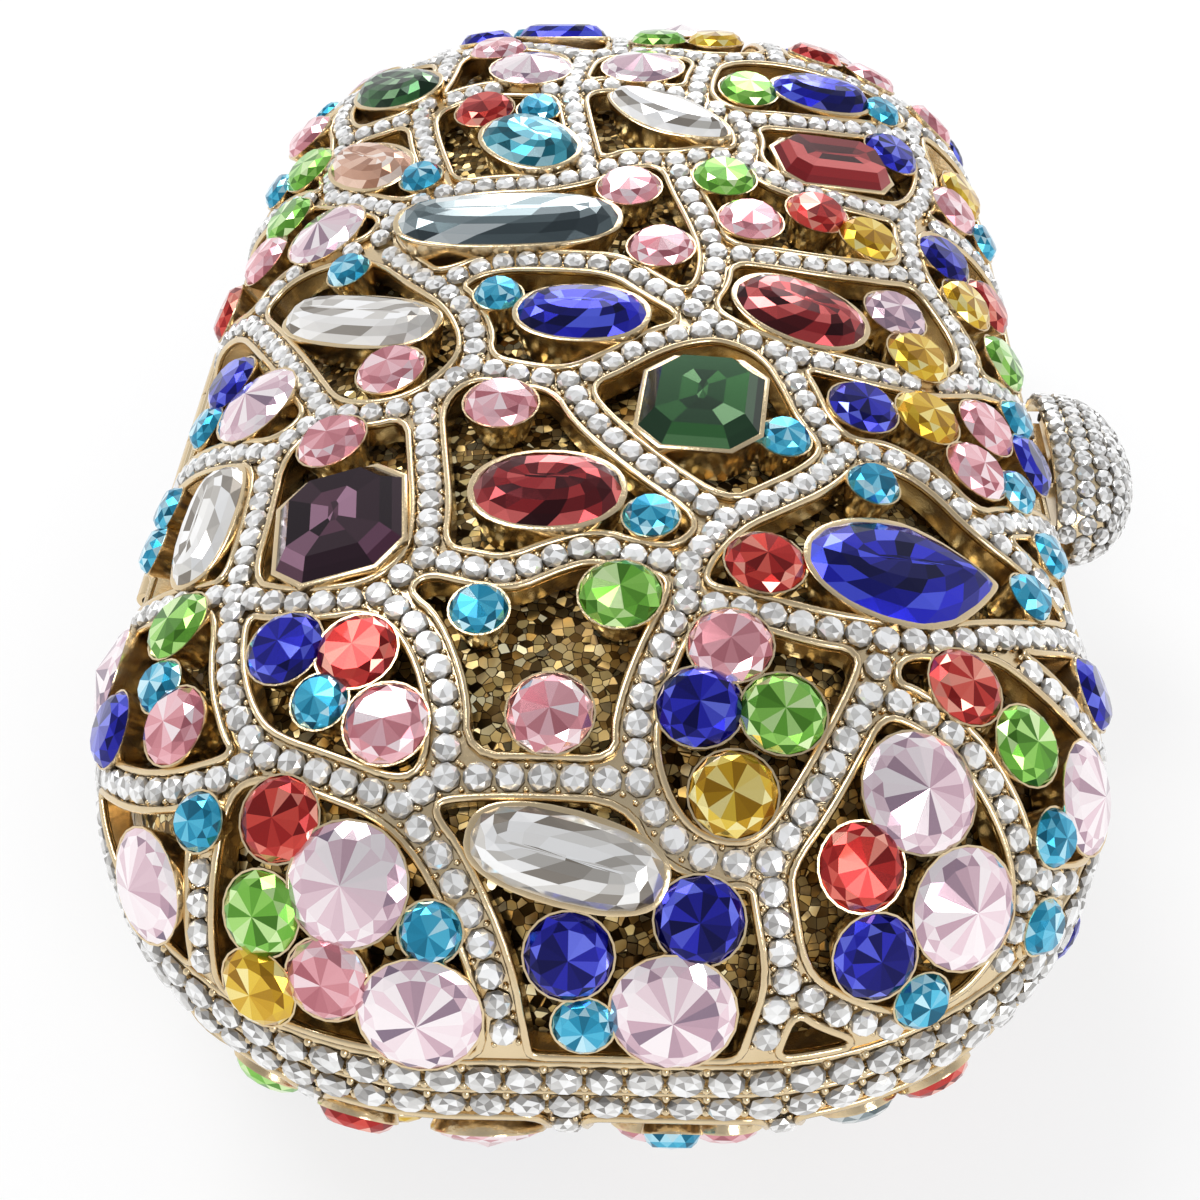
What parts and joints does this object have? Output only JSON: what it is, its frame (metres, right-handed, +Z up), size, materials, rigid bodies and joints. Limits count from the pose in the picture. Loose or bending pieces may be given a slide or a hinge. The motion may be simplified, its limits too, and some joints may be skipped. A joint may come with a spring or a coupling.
{
  "type": "evening clutch, hinged metal box bag",
  "caption": "Oval metal evening clutch with faceted stones on a cast gold net, crystal-set rims, a hinged lid and a rocking crystal clasp.",
  "frame": {"origin": "on the floor, under the flat table of the oval stone nearest the middle of the back half", "axes": "+Z up out of the lid, +Y along the length, hinge at -X and clasp at +X"},
  "size_m": [0.1271, 0.1825, 0.0684],
  "materials": {
    "pale_gold": "polished pale gold plate",
    "glitter_bronze": "dark bronze-gold glitter coat",
    "cream_satin": "plain satin lining",
    "steel": "bright drawn steel",
    "crystal": "small clear faceted crystals set close in pale gold",
    "smoky_glass": "faceted, foiled behind",
    "royal_glass": "faceted, foiled behind",
    "green_glass": "faceted, foiled behind",
    "garnet_glass": "faceted, foiled behind",
    "amethyst_glass": "faceted, foiled behind",
    "teal_glass": "faceted, foiled behind",
    "clear_glass": "faceted, foiled behind",
    "peach_glass": "faceted, foiled behind"
  },
  "bodies": {
    "back_half": {"back_lattice": "pale_gold", "back_rim": "pale_gold", "back_shell": "glitter_bronze", "back_lining": "cream_satin", "back_smoky_oval": "smoky_glass", "back_royal_oval": "royal_glass", "back_green_octagon": "green_glass", "back_garnet_oval": "garnet_glass", "back_amethyst_octagon": "amethyst_glass", "back_royal_pear": "royal_glass", "back_clear_bar": "clear_glass", "back_clear_side_oval": "clear_glass", "back_clear_oval": "clear_glass", "back_garnet_right_oval": "garnet_glass", "back_teal_oval": "teal_glass", "back_clear_navette": "clear_glass", "back_garnet_octagon": "garnet_glass", "back_royal_far_oval": "royal_glass", "back_peach_oval": "peach_glass", "back_green_far_oval": "green_glass", "back_royal_end_oval": "royal_glass", "hinge_leaf_back": "pale_gold", "hinge_pin": "steel", "clasp_base": "pale_gold", "clasp_tail": "pale_gold", "clasp_spring": "steel", "clasp_pin": "steel"},
    "lid": {"lid_lattice": "pale_gold", "lid_rim": "pale_gold", "lid_shell": "glitter_bronze", "lid_lining": "cream_satin", "lid_smoky_oval": "smoky_glass", "lid_royal_oval": "royal_glass", "lid_green_octagon": "green_glass", "lid_garnet_oval": "garnet_glass", "lid_amethyst_octagon": "amethyst_glass", "lid_royal_pear": "royal_glass", "lid_clear_bar": "clear_glass", "lid_clear_side_oval": "clear_glass", "lid_clear_oval": "clear_glass", "lid_garnet_right_oval": "garnet_glass", "lid_teal_oval": "teal_glass", "lid_clear_navette": "clear_glass", "lid_garnet_octagon": "garnet_glass", "lid_royal_far_oval": "royal_glass", "lid_peach_oval": "peach_glass", "lid_green_far_oval": "green_glass", "lid_royal_end_oval": "royal_glass", "hinge_leaf_lid": "pale_gold", "clasp_catch": "pale_gold"},
    "clasp": {"clasp_thumb_piece": "crystal"}
  },
  "joints": [
    {"name": "lid_hinge", "type": "hinge", "parent": "back_half", "child": "lid", "pos_m": [-0.05409, -0.00843, 0.0342], "axis": [0, -1, 0], "range_deg": [0, 95]},
    {"name": "clasp_rock", "type": "hinge", "parent": "back_half", "child": "clasp", "pos_m": [0.06026, -0.00843, 0.0282], "axis": [0, 1, 0], "range_deg": [0, 28], "stiffness_Nm_per_rad": 0.05}
  ]
}
